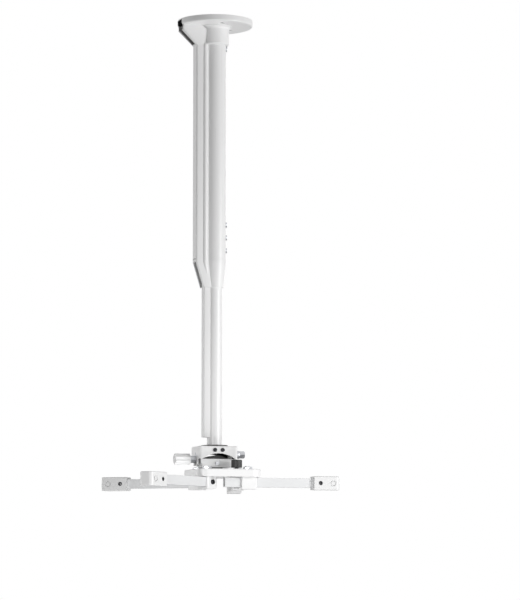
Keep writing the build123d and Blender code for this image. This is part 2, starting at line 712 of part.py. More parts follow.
# Cradle: a pan with raised ears that hangs on the pitch pins between the yoke's legs
with BuildPart() as cradle:
    with BuildSketch(front_plane(0, -cradle_depth / 2, 0)):
        with BuildLine():
            Polyline(
                (-cradle_width / 2, cradle_top_z),
                (-cradle_width / 2, cradle_top_z - cradle_flank),
                (-cradle_foot_width / 2, cradle_bottom_z),
                (cradle_foot_width / 2, cradle_bottom_z),
                (cradle_width / 2, cradle_top_z - cradle_flank),
                (cradle_width / 2, cradle_top_z),
                close=True,
            )
        make_face()
    extrude(amount=-cradle_depth)
    offset(amount=-cradle_wall, openings=cradle.faces().sort_by(Axis.Z)[-1])
    for side in (-1, 1):
        with BuildSketch(side_plane(side * cradle_width / 2, 0, pitch_z)):
            Circle(cradle_ear_width / 2)
            with Locations((0, (cradle_top_z - cradle_flank - pitch_z) / 2)):
                Rectangle(cradle_ear_width, pitch_z - cradle_top_z + cradle_flank)
        extrude(amount=-side * cradle_wall)
    with BuildSketch(side_plane(0, 0, pitch_z)):
        Circle(pitch_pin_diameter / 2)
    extrude(amount=cradle_width, both=True, mode=Mode.SUBTRACT)
    with BuildSketch(side_plane(0, 0, lock_z)):
        Circle(lock_bolt_diameter / 2 + fit_gap)
    extrude(amount=-cradle_width, mode=Mode.SUBTRACT)
    with BuildSketch(front_plane(0, 0, roll_z)):
        Circle(roll_pin_diameter / 2)
    extrude(amount=cradle_depth, both=True, mode=Mode.SUBTRACT)
    with BuildSketch(Plane.XY.offset(cradle_bottom_z)):
        Rectangle(cradle_window_width, cradle_window_depth)
    extrude(amount=cradle_wall, mode=Mode.SUBTRACT)
cradle.part.label = "cradle"
export_step(cradle.part, "parts/cradle.step")

# Pitch pins: a flush one in the left leg and a long one that takes the nut on the right
ear_inner_x = cradle_width / 2 - cradle_wall
leg_outer_x = yoke_width / 2
pitch_nut_end_x = leg_outer_x + slide_gap + pitch_nut_height
with BuildPart() as pitch_pins:
    with BuildSketch(side_plane(-leg_outer_x, 0, pitch_z)):
        Circle(pitch_pin_diameter / 2)
    extrude(amount=leg_outer_x - ear_inner_x)
    with BuildSketch(side_plane(ear_inner_x, 0, pitch_z)):
        Circle(pitch_pin_diameter / 2)
    extrude(amount=pitch_nut_end_x - ear_inner_x)
pitch_pins.part.label = "pitch_pins"
export_step(pitch_pins.part, "parts/pitch_pins.step")

# Pitch washers: thin discs between the ears and the legs
with BuildPart() as pitch_washers:
    for side in (-1, 1):
        with BuildSketch(side_plane(side * cradle_width / 2, 0, pitch_z)):
            Circle(pitch_washer_diameter / 2)
            Circle(pitch_pin_diameter / 2 + fit_gap, mode=Mode.SUBTRACT)
            with Locations((0, -lock_radius)):
                Circle(lock_bolt_diameter / 2 + slide_gap, mode=Mode.SUBTRACT)
        extrude(amount=side * pitch_washer_thickness)
pitch_washers.part.label = "pitch_washers"
export_step(pitch_washers.part, "parts/pitch_washers.step")

# Pitch nut: a flanged nut on the right pin, outside the leg
with BuildPart() as pitch_nut:
    with BuildSketch(side_plane(leg_outer_x + slide_gap, 0, pitch_z)):
        Circle(pitch_nut_diameter / 2)
        Circle(pitch_pin_diameter / 2 + fit_gap, mode=Mode.SUBTRACT)
    extrude(amount=pitch_nut_height / 2)
    with BuildSketch(side_plane(leg_outer_x + slide_gap + pitch_nut_height / 2, 0, pitch_z)):
        RegularPolygon(pitch_nut_diameter / 2, 6)
        Circle(pitch_pin_diameter / 2 + fit_gap, mode=Mode.SUBTRACT)
    extrude(amount=pitch_nut_height / 2)
pitch_nut.part.label = "pitch_nut"
export_step(pitch_nut.part, "parts/pitch_nut.step")

# Roll pin: runs from front to back through the cradle and the roll saddle
with BuildPart() as roll_pin:
    with BuildSketch(front_plane(0, 0, roll_z)):
        Circle(roll_pin_diameter / 2)
    extrude(amount=cradle_depth / 2 + roll_pin_proud, both=True)
roll_pin.part.label = "roll_pin"
export_step(roll_pin.part, "parts/roll_pin.step")

# Lock bolt: screwed into the cradle's left ear through the notch in the yoke's leg
knob_face_x = -leg_outer_x - slide_gap - lock_collar_length
with BuildPart() as lock_bolt:
    with BuildSketch(side_plane(-ear_inner_x, 0, lock_z)):
        Circle(lock_bolt_diameter / 2)
    extrude(amount=knob_face_x + ear_inner_x)
    with BuildSketch(side_plane(knob_face_x, 0, lock_z)):
        Circle(lock_collar_diameter / 2)
    extrude(amount=lock_collar_length)
lock_bolt.part.label = "lock_bolt"
export_step(lock_bolt.part, "parts/lock_bolt.step")

# Lock knob: a lobed hand knob on the bolt's outer end
with BuildPart() as lock_knob:
    with BuildSketch(side_plane(knob_face_x, 0, lock_z)):
        Circle(lock_knob_diameter / 2)
    extrude(amount=-lock_knob_length)
    chamfer(lock_knob.edges().group_by(Axis.X)[0], lock_knob_edge)
    with BuildSketch(side_plane(knob_face_x, 0, lock_z)):
        with PolarLocations(lock_knob_diameter / 2 + lock_knob_lobe_radius / 2, lock_knob_lobes):
            Circle(lock_knob_lobe_radius)
    extrude(amount=-lock_knob_length, mode=Mode.SUBTRACT)
lock_knob.part.label = "lock_knob"
export_step(lock_knob.part, "parts/lock_knob.step")

# Roll saddle: a black block with an arched crown that turns on the roll pin and carries the hub on its neck
saddle_foot_z = cradle_bottom_z + cradle_wall + saddle_clearance
saddle_shoulder_z = saddle_foot_z + saddle_flank
saddle_crown_z = saddle_shoulder_z + saddle_crown
with BuildPart() as roll_saddle:
    with BuildSketch(front_plane(0, 0, 0)):
        with BuildLine():
            Polyline(
                (-saddle_width / 2, saddle_shoulder_z),
                (-saddle_width / 2, saddle_foot_z),
                (saddle_width / 2, saddle_foot_z),
                (saddle_width / 2, saddle_shoulder_z),
            )
            ThreePointArc(
                (saddle_width / 2, saddle_shoulder_z),
                (0, saddle_crown_z),
                (-saddle_width / 2, saddle_shoulder_z),
            )
        make_face()
    extrude(amount=saddle_depth / 2, both=True)
    with BuildSketch(Plane.XY.offset(hub_top_z)):
        Rectangle(saddle_neck_width, saddle_neck_depth)
    extrude(amount=saddle_foot_z + saddle_flank - hub_top_z)
    with BuildSketch(front_plane(0, 0, roll_z)):
        Circle(roll_pin_diameter / 2 + fit_gap)
    extrude(amount=saddle_depth, both=True, mode=Mode.SUBTRACT)
    with BuildSketch(Plane.XY.offset(hub_top_z)):
        with GridLocations(hub_bolt_spacing_x, hub_bolt_spacing_y, 2, 2):
            Circle(hub_bolt_diameter / 2)
    extrude(amount=hub_bolt_depth, mode=Mode.SUBTRACT)
roll_saddle.part.label = "roll_saddle"
export_step(roll_saddle.part, "parts/roll_saddle.step")

# Hub tray: a pressed pan, open below, with a pivot hole near each corner
with BuildPart() as hub_tray:
    with BuildSketch(Plane.XY.offset(hub_bottom_z)) as hub_outline:
        with Locations((hub_shift, 0)):
            Rectangle(hub_length, hub_depth)
        fillet(hub_outline.vertices(), hub_corner)
    extrude(amount=hub_height)
    fillet(hub_tray.edges().group_by(Axis.Z)[-1], hub_edge_radius)
    with BuildSketch(Plane.XY.offset(hub_bottom_z)) as hub_hollow:
        with Locations((hub_shift, 0)):
            Rectangle(hub_length - 2 * hub_wall, hub_depth - 2 * hub_wall)
        fillet(hub_hollow.vertices(), hub_corner - hub_wall)
    extrude(amount=hub_height - hub_wall, mode=Mode.SUBTRACT)
    with Locations(Plane.XY.offset(hub_top_z)):
        with Locations(*pivots.values()):
            Hole(sleeve_pin_diameter / 2 + fit_gap, depth=hub_wall)
        with GridLocations(hub_bolt_spacing_x, hub_bolt_spacing_y, 2, 2):
            Hole(hub_bolt_diameter / 2 + seat_gap, depth=hub_wall)
        with Locations((release_x, release_y)):
            Hole(release_stem_diameter / 2 + fit_gap, depth=hub_wall)
hub_tray.part.label = "hub_tray"
export_step(hub_tray.part, "parts/hub_tray.step")

# Hub bolts: four screws from below that hold the tray to the saddle's neck
with BuildPart() as hub_bolts:
    with BuildSketch(Plane.XY.offset(hub_plate_z)):
        with GridLocations(hub_bolt_spacing_x, hub_bolt_spacing_y, 2, 2):
            Circle(hub_bolt_head_diameter / 2)
    extrude(amount=-hub_bolt_head_height)
    with BuildSketch(Plane.XY.offset(hub_plate_z)):
        with GridLocations(hub_bolt_spacing_x, hub_bolt_spacing_y, 2, 2):
            Circle(hub_bolt_diameter / 2 - fit_gap)
    extrude(amount=hub_wall + hub_bolt_depth - seat_gap)
hub_bolts.part.label = "hub_bolts"
export_step(hub_bolts.part, "parts/hub_bolts.step")

# Release knob: a dark fluted thumbscrew on the hub
release_knob_z = hub_top_z + release_knob_lift
with BuildPart() as release_knob:
    with BuildSketch(Plane.XY.offset(release_knob_z)):
        with Locations((release_x, release_y)):
            Circle(release_knob_diameter / 2)
            with PolarLocations(release_knob_diameter / 2, release_flutes):
                Circle(release_flute_radius, mode=Mode.SUBTRACT)
    extrude(amount=release_knob_height)
    with BuildSketch(Plane.XY.offset(hub_plate_z - release_stem_below)):
        with Locations((release_x, release_y)):
            Circle(release_stem_diameter / 2)
    extrude(amount=release_knob_z - hub_plate_z + release_stem_below)
release_knob.part.label = "release_knob"
export_step(release_knob.part, "parts/release_knob.step")

# Arms: a sleeve on a pivot under each corner of the hub, a bar that slides in it, and a foot on the bar
sleeve_top_z = hub_plate_z - seat_gap
sleeve_bottom_z = bar_top_z - bar_height - slide_gap - sleeve_floor
for arm, direction, reach in arms:
    ahead = (cos(radians(direction)), sin(radians(direction)), 0)
    base = Plane(origin=(*pivots[arm], 0), x_dir=ahead, z_dir=(0, 0, 1))
    foot_start = reach - foot_length / 2

    # Sleeve: a block with a rectangular passage and a pivot pin
    with BuildPart() as sleeve:
        with BuildSketch(arm_level(base, sleeve_bottom_z)) as sleeve_outline:
            Rectangle(sleeve_block_length, sleeve_block_width)
            fillet(sleeve_outline.vertices(), sleeve_corner)
        extrude(amount=sleeve_top_z - sleeve_bottom_z)
        with BuildSketch(arm_end(base, -sleeve_block_length, bar_middle_z)):
            Rectangle(bar_width + 2 * slide_gap, bar_height + 2 * slide_gap)
        extrude(amount=2 * sleeve_block_length, mode=Mode.SUBTRACT)
        with BuildSketch(arm_level(base, sleeve_top_z)):
            Circle(sleeve_pin_diameter / 2)
        extrude(amount=hub_wall + seat_gap + sleeve_pin_proud)
        with BuildSketch(arm_flank(base, 0, 0, bar_middle_z)):
            Circle(side_screw_diameter / 2)
        extrude(amount=sleeve_block_width, mode=Mode.SUBTRACT)
    sleeve.part.label = f"{arm}_sleeve"
    export_step(sleeve.part, f"parts/{arm}_sleeve.step")

    # Sleeve nut: on the pivot pin above the hub
    with BuildPart() as sleeve_nut:
        with BuildSketch(arm_level(base, hub_top_z + seat_gap)):
            RegularPolygon(sleeve_nut_width / 2, 6, major_radius=False)
            Circle(sleeve_pin_diameter / 2, mode=Mode.SUBTRACT)
        extrude(amount=sleeve_nut_height)
    sleeve_nut.part.label = f"{arm}_sleeve_nut"
    export_step(sleeve_nut.part, f"parts/{arm}_sleeve_nut.step")

    # Sleeve screw: clamps the bar from the side
    with BuildPart() as sleeve_screw:
        with BuildSketch(arm_flank(base, 0, sleeve_block_width / 2, bar_middle_z)):
            Circle(side_screw_head_diameter / 2)
        extrude(amount=side_screw_head_height)
        with BuildSketch(arm_flank(base, 0, bar_width / 2 + slide_gap, bar_middle_z)):
            Circle(side_screw_diameter / 2 - fit_gap)
        extrude(amount=sleeve_wall)
        with BuildSketch(arm_flank(base, 0, sleeve_block_width / 2 + side_screw_head_height, bar_middle_z)):
            RegularPolygon(screw_socket_width / 2, 6, major_radius=False)
        extrude(amount=-screw_socket_depth, mode=Mode.SUBTRACT)
    sleeve_screw.part.label = f"{arm}_sleeve_screw"
    export_step(sleeve_screw.part, f"parts/{arm}_sleeve_screw.step")

    # Bar: a rectangular tube that slides through the sleeve
    with BuildPart() as bar:
        with BuildSketch(arm_end(base, foot_start, bar_middle_z)):
            Rectangle(bar_width, bar_height)
            Rectangle(bar_width - 2 * bar_wall, bar_height - 2 * bar_wall, mode=Mode.SUBTRACT)
        extrude(amount=-bar_length)
    bar.part.label = f"{arm}_bar"
    export_step(bar.part, f"parts/{arm}_bar.step")

    # Foot: a block on the bar's end with an upright hole for the projector's screw
    with BuildPart() as foot:
        with BuildSketch(arm_level(base, bar_middle_z - foot_height / 2)) as foot_outline:
            with Locations((reach, 0)):
                Rectangle(foot_length, foot_width)
            fillet(foot_outline.vertices().group_by(Axis.X)[-1], foot_corner)
        extrude(amount=foot_height)
        foot_faces = foot.faces().sort_by(Axis.Z)
        chamfer(foot_faces[-1].edges() + foot_faces[0].edges(), foot_edge)
        with BuildSketch(arm_end(base, foot_start, bar_middle_z)):
            Rectangle(
                bar_width - 2 * bar_wall - 2 * foot_tongue_gap,
                bar_height - 2 * bar_wall - 2 * foot_tongue_gap,
            )
        extrude(amount=-foot_tongue)
        with BuildSketch(arm_level(base, bar_middle_z - foot_height / 2)):
            with Locations((reach + foot_bore_offset, 0)):
                Circle(foot_bore_diameter / 2)
        extrude(amount=foot_height, mode=Mode.SUBTRACT)
        for flank in (-1, 1):
            foot_side = flank * foot_width / 2
            with BuildSketch(arm_flank(base, reach + foot_bore_offset, foot_side, bar_middle_z)):
                Circle(foot_ring_outer / 2)
                Circle(foot_ring_inner / 2, mode=Mode.SUBTRACT)
            extrude(amount=-flank * foot_ring_depth, mode=Mode.SUBTRACT)
            with BuildSketch(arm_flank(base, reach - foot_screw_offset, foot_side, bar_middle_z)):
                Circle(foot_screw_diameter / 2)
            extrude(amount=-flank * foot_screw_depth, mode=Mode.SUBTRACT)
    foot.part.label = f"{arm}_foot"
    export_step(foot.part, f"parts/{arm}_foot.step")

    # Foot screws: dark socket screws sunk in both flanks of the foot
    with BuildPart() as foot_screw:
        for flank in (-1, 1):
            screw_face = flank * (foot_width / 2 - foot_ring_depth)
            with BuildSketch(arm_flank(base, reach - foot_screw_offset, screw_face, bar_middle_z)):
                Circle(foot_screw_diameter / 2 - fit_gap)
                RegularPolygon(foot_screw_socket / 2, 6, major_radius=False, mode=Mode.SUBTRACT)
            extrude(amount=-flank * (foot_screw_depth - foot_ring_depth))
    foot_screw.part.label = f"{arm}_foot_screw"
    export_step(foot_screw.part, f"parts/{arm}_foot_screw.step")
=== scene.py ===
import json
from math import cos, radians, sin, sqrt, tan

import bpy
from mathutils import Matrix, Vector


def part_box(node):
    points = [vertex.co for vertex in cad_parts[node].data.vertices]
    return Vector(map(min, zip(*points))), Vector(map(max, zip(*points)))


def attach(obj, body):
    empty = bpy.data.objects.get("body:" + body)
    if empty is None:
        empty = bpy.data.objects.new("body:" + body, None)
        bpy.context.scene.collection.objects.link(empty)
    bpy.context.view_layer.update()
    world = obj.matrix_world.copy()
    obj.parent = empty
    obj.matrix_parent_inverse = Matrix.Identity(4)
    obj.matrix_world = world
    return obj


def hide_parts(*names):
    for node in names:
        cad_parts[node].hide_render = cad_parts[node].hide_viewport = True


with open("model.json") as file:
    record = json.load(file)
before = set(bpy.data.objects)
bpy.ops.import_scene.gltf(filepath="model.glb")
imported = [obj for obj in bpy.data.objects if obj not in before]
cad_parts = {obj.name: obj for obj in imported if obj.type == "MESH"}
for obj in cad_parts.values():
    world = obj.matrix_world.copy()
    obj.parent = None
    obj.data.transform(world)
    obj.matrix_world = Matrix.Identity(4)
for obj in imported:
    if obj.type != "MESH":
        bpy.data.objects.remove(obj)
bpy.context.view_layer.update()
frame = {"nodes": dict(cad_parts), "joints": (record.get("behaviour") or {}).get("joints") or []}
nodes = frame["nodes"]


# Ceiling plate: a thick die-cast disc that three countersunk screws hold to the ceiling.
# It is powder-coated white, with a faint orange peel. Black painted shade stands for the shadow
# in the holes, on a ring round each hole and in the cable notch.
class Finish:
    """A socket of a material's nodes. Arithmetic on it adds Math nodes."""

    def __init__(self, material, socket=None):
        self.material = material
        self.socket = socket

    def add(self, kind, settings, sockets, out=0):
        """A new node of a kind: its settings go in first, then its sockets' values or links."""
        tree = self.material.node_tree
        node = tree.nodes.new(kind)
        for name, value in settings.items():
            setattr(node, name, value)
        for name, value in sockets.items():
            if isinstance(value, Finish):
                tree.links.new(value.socket, node.inputs[name])
            else:
                node.inputs[name].default_value = value
        return Finish(self.material, node.outputs[out])

    def math(self, operation, first, second):
        return self.add("ShaderNodeMath", {"operation": operation}, {0: first, 1: second})

    def __add__(self, other):
        return self.math("ADD", self, other)

    __radd__ = __add__

    def __sub__(self, other):
        return self.math("SUBTRACT", self, other)

    def __rsub__(self, other):
        return self.math("SUBTRACT", other, self)

    def __mul__(self, other):
        return self.math("MULTIPLY", self, other)

    __rmul__ = __mul__

    def __lt__(self, other):
        return self.math("LESS_THAN", self, other)

    def __gt__(self, other):
        return self.math("GREATER_THAN", self, other)

    def __or__(self, other):
        return self.math("MAXIMUM", self, other)

    def __abs__(self):
        return self.math("ABSOLUTE", self, 0.0)

    def blend(self, share, first, second):
        """Mixes two colours by a share from 0 to 1."""
        factor, colour_a, colour_b, result = 0, 6, 7, 2
        sockets = {factor: share, colour_a: first, colour_b: second}
        return self.add("ShaderNodeMix", {"data_type": "RGBA"}, sockets, result)

    def noise(self, place, waves=1.0, detail=2.0):
        """Soft noise of so many waves to the metre, or one to each unit of a stretched place."""
        sockets = {"Vector": place, "Scale": waves, "Detail": detail}
        return self.add("ShaderNodeTexNoise", {}, sockets, "Fac")

    def stretched(self, place, scale=(1.0, 1.0, 1.0), turn=0.0):
        """The same place, stretched by a scale along each axis and then turned about z."""
        sockets = {"Vector": place, "Rotation": (0.0, 0.0, turn), "Scale": scale}
        return self.add("ShaderNodeMapping", {}, sockets)

    def split(self, place):
        """The separate x, y and z of a place."""
        outputs = self.add("ShaderNodeSeparateXYZ", {}, {"Vector": place}).socket.node.outputs
        return [Finish(self.material, socket) for socket in outputs]

    def feed(self, name, value):
        """Links a value to a socket of the material's Principled shader."""
        shader = self.material.node_tree.nodes["Principled BSDF"]
        self.material.node_tree.links.new(value.socket, shader.inputs[name])

    def fix(self, **values):
        """Sets sockets of the Principled shader that are the same all over, as metallic=1.0."""
        shader = self.material.node_tree.nodes["Principled BSDF"]
        for name, value in values.items():
            shader.inputs[name.replace("_", " ").title()].default_value = value


def grey(level):
    """A neutral colour."""
    return (level, level, level, 1.0)


def new_finish(name):
    """An empty material with a Principled shader, and its Object coordinates."""
    material = bpy.data.materials.new(name)
    material.use_nodes = True
    finish = Finish(material)
    return finish, finish.add("ShaderNodeTexCoord", {}, {}, "Object")


def roughen(finish, height, depth, edge):
    """Bump of a height map in metres, on edges that are broken by a small radius."""
    strength, bevel_samples = 0.5, 4
    broken = finish.add("ShaderNodeBevel", {"samples": bevel_samples}, {"Radius": edge})
    sockets = {"Strength": strength, "Distance": depth, "Height": height, "Normal": broken}
    finish.feed("Normal", finish.add("ShaderNodeBump", {}, sockets))


def paint_shade(finish, place, colour, dark, shaded_places):
    """The colour, or a dark painted shade where a test of the separate x, y and z gives 1."""
    return finish.blend(shaded_places(*finish.split(place)), colour, dark) if shaded_places else colour


def powder_coat(name, shaded_places=None):
    """White powder coat: close tones of white, orange peel and a rubbed, uneven gloss.
    The last argument tells the places that get black painted shade, for the shadow in holes and
    hollows."""
    # The third colour is black painted shade, for the shadow in holes and hollows.
    pale, shade, painted_shade = grey(0.86), grey(0.82), grey(0.015)
    cloud_waves, cloud_detail = 25.0, 3.0
    peel_waves, peel_depth, edge = 650.0, 0.00005, 0.0005
    rub_waves, rub_detail = 9.0, 4.0
    dullness, rub_share, peel_share = 0.24, 0.10, 0.05
    finish, place = new_finish(name)
    cloud = finish.noise(place, cloud_waves, cloud_detail)
    peel = finish.noise(place, peel_waves)
    rub = finish.noise(place, rub_waves, rub_detail)
    colour = finish.blend(cloud, shade, pale)
    finish.feed("Base Color", paint_shade(finish, place, colour, painted_shade, shaded_places))
    finish.feed("Roughness", dullness + rub_share * rub + peel_share * peel)
    roughen(finish, peel, peel_depth, edge)
    return finish.material


def dress(material, *names):
    """Gives CAD nodes a material of their own."""
    for name in names:
        slots = nodes[name].data.materials
        slots.clear()
        slots.append(material)


hole_circle, hole_count, first_hole = 0.038, 3, -90.0
# Painted shade reaches past each hole's edge to this radius.
shade_ring_radius = 0.0042
notch_side, notch_inner, notch_roof = 0.0116, -0.0275, -0.0018


def plate_painted_shade(x, y, z):
    """Where black painted shade goes: in the countersunk holes, on a ring round each, and in the
    notch at the cable side.
    """
    inside = (abs(y) < notch_side) * (x < notch_inner) * (z < notch_roof)
    for index in range(hole_count):
        turn = radians(first_hole + 360 * index / hole_count)
        aside = x - hole_circle * cos(turn)
        along = y - hole_circle * sin(turn)
        inside = inside | (aside * aside + along * along < shade_ring_radius**2)
    return inside


dress(powder_coat("plate_coat_painted_shade", plate_painted_shade), "ceiling_plate")

# Column socket: a turned collar round the top of the tube that flares out against the plate,
# and a ring inside the tube that its screw pulls on. Both are coated with the plate.
white_coat = powder_coat("white_powder_coat")
dress(white_coat, "column_socket", "socket_core")


# Cable funnel: an injection-moulded hood, clipped between plate and cover, with a slit along
# its slope for the cables. Satin white plastic outside, and grey painted shade within for the
# shadow in the slit.
def moulded(name, pale, shade, shaded_places=None):
    """Moulded plastic: a fine spark-eroded grain and a slight flow cloud in two near greys.
    The last argument tells the places that get grey painted shade, for the shadow inside slits."""
    # Grey painted shade, for the shadow inside the slits.
    shade_grey = grey(0.50)
    grain_waves, grain_depth, edge = 2200.0, 0.00002, 0.0006
    flow_stretch, flow_waves, flow_detail = (1.0, 1.0, 0.25), 14.0, 3.0
    dullness, flow_share, grain_share = 0.30, 0.08, 0.06
    finish, place = new_finish(name)
    grain = finish.noise(place, grain_waves)
    flow = finish.noise(finish.stretched(place, flow_stretch), flow_waves, flow_detail)
    colour = finish.blend(flow, grey(shade), grey(pale))
    finish.feed("Base Color", paint_shade(finish, place, colour, shade_grey, shaded_places))
    finish.feed("Roughness", dullness + flow_share * flow + grain_share * grain)
    roughen(finish, grain, grain_depth, edge)
    return finish.material


funnel_low, funnel_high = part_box("cable_funnel")
cover_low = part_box("upper_cable_cover")[0]
mouth_depth, slope_skin = 0.009, 0.0012
channel_half, mouth_half = 0.0096, 0.0121
funnel_foot = funnel_low.z
funnel_slope = funnel_high.z - mouth_depth - funnel_foot


def funnel_shaded_inside(x, y, z):
    """Painted shade behind the sloping wall and between the two cheeks."""
    rise = (z - funnel_foot) * (1 / funnel_slope)
    slope = cover_low.x + (funnel_low.x - cover_low.x) * rise
    half = channel_half + (mouth_half - channel_half) * rise
    return (abs(y) < half) * (x > slope + slope_skin)


white_pale, white_shade = 0.84, 0.81
dress(moulded("funnel_plastic_painted_shade", white_pale, white_shade, funnel_shaded_inside), "cable_funnel")


# Upper column: an aluminium extrusion with a slot for the cables, and a cover strip with a
# rounded bead along each flank that snaps over the slot. Both are lacquered white, and the
# die has left fine lines along them.
def lacquered(name):
    """White lacquer on an upright extrusion: die lines along it, which also catch the gloss."""
    pale, shade = grey(0.86), grey(0.80)
    line_waves, line_depth, edge = (700.0, 700.0, 4.0), 0.000012, 0.0004
    cloud_waves, cloud_detail = 12.0, 3.0
    line_tone, cloud_tone = 0.5, 0.5
    dullness, line_share, cloud_share = 0.20, 0.14, 0.06
    finish, place = new_finish(name)
    lines = finish.noise(finish.stretched(place, line_waves))
    cloud = finish.noise(place, cloud_waves, cloud_detail)
    tone = line_tone * lines + cloud_tone * cloud
    finish.feed("Base Color", finish.blend(tone, shade, pale))
    finish.feed("Roughness", dullness + line_share * lines + cloud_share * cloud)
    roughen(finish, lines, line_depth, edge)
    return finish.material


column_lacquer = lacquered("column_lacquer")
dress(column_lacquer, "outer_tube", "upper_cable_cover")


# Guide sleeve: a black plastic liner, split at the cable side and pushed into the tube's foot.
# The inner tube runs in it, and it has a fine rubbed grain.
def black_moulded(name, dullness):
    """Black plastic: a dull grain with paler rubbed spots."""
    worn, deep = grey(0.035), grey(0.014)
    grain_waves, grain_depth, edge = 1800.0, 0.00003, 0.0004
    rub_waves, rub_detail = 60.0, 4.0
    rub_share, grain_share = 0.08, 0.10
    finish, place = new_finish(name)
    grain = finish.noise(place, grain_waves)
    rub = finish.noise(place, rub_waves, rub_detail)
    finish.feed("Base Color", finish.blend(rub * rub, deep, worn))
    finish.feed("Roughness", dullness - rub_share * rub + grain_share * grain)
    roughen(finish, grain, grain_depth, edge)
    return finish.material


sleeve_dullness = 0.42
black_plastic = black_moulded("black_plastic", sleeve_dullness)
dress(black_plastic, "guide_sleeve")


# Column screws: three zinc-plated socket screws in a row clamp the inner tube, and a fourth
# holds the tube on its socket. Their heads are turned and sit in small spot faces.
def plated(name, bright, dull):
    """Plated steel: fine tool marks and a cloudy plating."""
    mark_waves, mark_detail = 900.0, 1.0
    mark_depth, edge = 0.000008, 0.0002
    cloud_waves, cloud_detail = 220.0, 3.0
    dullness, cloud_share, mark_share = 0.24, 0.12, 0.10
    finish, place = new_finish(name)
    marks = finish.noise(place, mark_waves, mark_detail)
    cloud = finish.noise(place, cloud_waves, cloud_detail)
    finish.feed("Base Color", finish.blend(cloud, dull, bright))
    finish.feed("Roughness", dullness + cloud_share * cloud + mark_share * marks)
    finish.fix(metallic=1.0)
    roughen(finish, marks, mark_depth, edge)
    return finish.material


def only(piece):
    """Leaves just this piece selected and active."""
    bpy.ops.object.select_all(action="DESELECT")
    piece.select_set(True)
    bpy.context.view_layer.objects.active = piece


def cylinder(name, sides, radius, low, high):
    """A new upright cylinder round the Z axis, selected, from one height to another."""
    bpy.ops.object.select_all(action="DESELECT")
    bpy.ops.mesh.primitive_cylinder_add(
        vertices=sides, radius=radius, depth=high - low, location=(0, 0, (low + high) / 2)
    )
    piece = bpy.context.object
    piece.name = piece.data.name = name
    bpy.ops.object.transform_apply(location=True)
    return piece


def pick(piece, kind, height):
    """Selects, in edit mode, the faces or edges that lie at one height."""
    slack = 1e-6
    only(piece)
    bpy.ops.object.mode_set(mode="EDIT")
    bpy.ops.mesh.select_mode(type=kind)
    bpy.ops.mesh.select_all(action="DESELECT")
    bpy.ops.object.mode_set(mode="OBJECT")
    points = piece.data.vertices
    for part in piece.data.edges if kind == "EDGE" else piece.data.polygons:
        part.select = all(abs(points[index].co.z - height) < slack for index in part.vertices)
    bpy.ops.object.mode_set(mode="EDIT")


def break_rim(piece, height, width, segments=3):
    """Rounds off the edges at one height, or chamfers them with one segment."""
    pick(piece, "EDGE", height)
    bpy.ops.mesh.bevel(offset=width, segments=segments, affect="EDGES")
    bpy.ops.object.mode_set(mode="OBJECT")


def draw_out(piece, height, margin, travel):
    """Insets the end face at one height by a margin and pulls it up or down."""
    pick(piece, "FACE", height)
    bpy.ops.mesh.inset(thickness=margin)
    bpy.ops.mesh.extrude_region_move(TRANSFORM_OT_translate={"value": (0, 0, travel)})
    bpy.ops.object.mode_set(mode="OBJECT")


def combine(piece, tool, operation):
    """Joins, cuts or trims a piece with a tool, removes the tool and cleans up the slivers."""
    sliver = 2e-5
    only(piece)
    step = piece.modifiers.new("cut", "BOOLEAN")
    step.operation = operation
    step.object = tool
    bpy.ops.object.modifier_apply(modifier=step.name)
    bpy.data.objects.remove(tool)
    bpy.ops.object.mode_set(mode="EDIT")
    bpy.ops.mesh.select_all(action="SELECT")
    bpy.ops.mesh.remove_doubles(threshold=sliver)
    bpy.ops.mesh.dissolve_degenerate(threshold=sliver)
    bpy.ops.object.mode_set(mode="OBJECT")


def smooth(piece):
    """Shades the round faces smooth and keeps the corners sharp."""
    sharpest = 32.0
    only(piece)
    bpy.ops.object.shade_smooth_by_angle(angle=radians(sharpest))


def set_down(piece, seat, out):
    """Turns an upright piece so that it points out, and puts its zero at the seat."""
    turn = Vector((0, 0, 1)).rotation_difference(Vector(out)).to_matrix().to_4x4()
    piece.matrix_world = Matrix.Translation(seat) @ turn
    only(piece)
    bpy.ops.object.transform_apply(location=True, rotation=True, scale=True)


def socket_screw(name, seat, out, head, rise, shank, depth, key):
    """A cap screw on its seat: head radius and rise, shank radius and depth, and key width."""
    head_sides, key_sides = 40, 6
    rim, key_depth = 0.16 * rise, 0.6 * rise
    screw = cylinder(name, head_sides, head, 0.0, rise)
    break_rim(screw, rise, rim)
    draw_out(screw, 0.0, head - shank, -depth)
    hexagon = cylinder("key", key_sides, key / sqrt(3), rise - key_depth, 2 * rise)
    combine(screw, hexagon, "DIFFERENCE")
    smooth(screw)
    set_down(screw, seat, out)
    return screw


def gather(name, pieces):
    """Joins like pieces into one."""
    bpy.ops.object.select_all(action="DESELECT")
    for piece in pieces:
        piece.select_set(True)
    bpy.context.view_layer.objects.active = pieces[0]
    bpy.ops.object.join()
    pieces[0].name = pieces[0].data.name = name
    return pieces[0]


def fit(piece, material, body, slot, *replaced):
    """Finishes a piece, hangs it on its body and hides the CAD nodes that it stands for."""
    piece.data.materials.clear()
    piece.data.materials.append(material)
    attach(piece, body)
    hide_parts(*replaced)


zinc_bright, zinc_dull = (0.60, 0.61, 0.63, 1.0), (0.47, 0.48, 0.50, 1.0)
steel = plated("zinc_plate", zinc_bright, zinc_dull)
column_head, column_rise, column_shank, column_key = 0.0045, 0.003, 0.0028, 0.004
screw_low, screw_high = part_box("column_clamp_screws")
screw_levels = [
    screw_low.z + column_head,
    (screw_low.z + screw_high.z) / 2,
    screw_high.z - column_head,
]
seat_x = screw_high.x - column_rise
clamp_screws = [
    socket_screw(
        "clamp_screw",
        (seat_x, 0, level),
        (1, 0, 0),
        column_head,
        column_rise,
        column_shank,
        seat_x - screw_low.x,
        column_key,
    )
    for level in screw_levels
]
clamp_row = gather("column_clamp_screw_row", clamp_screws)
fit(clamp_row, steel, "ceiling", "steel", "column_clamp_screws")

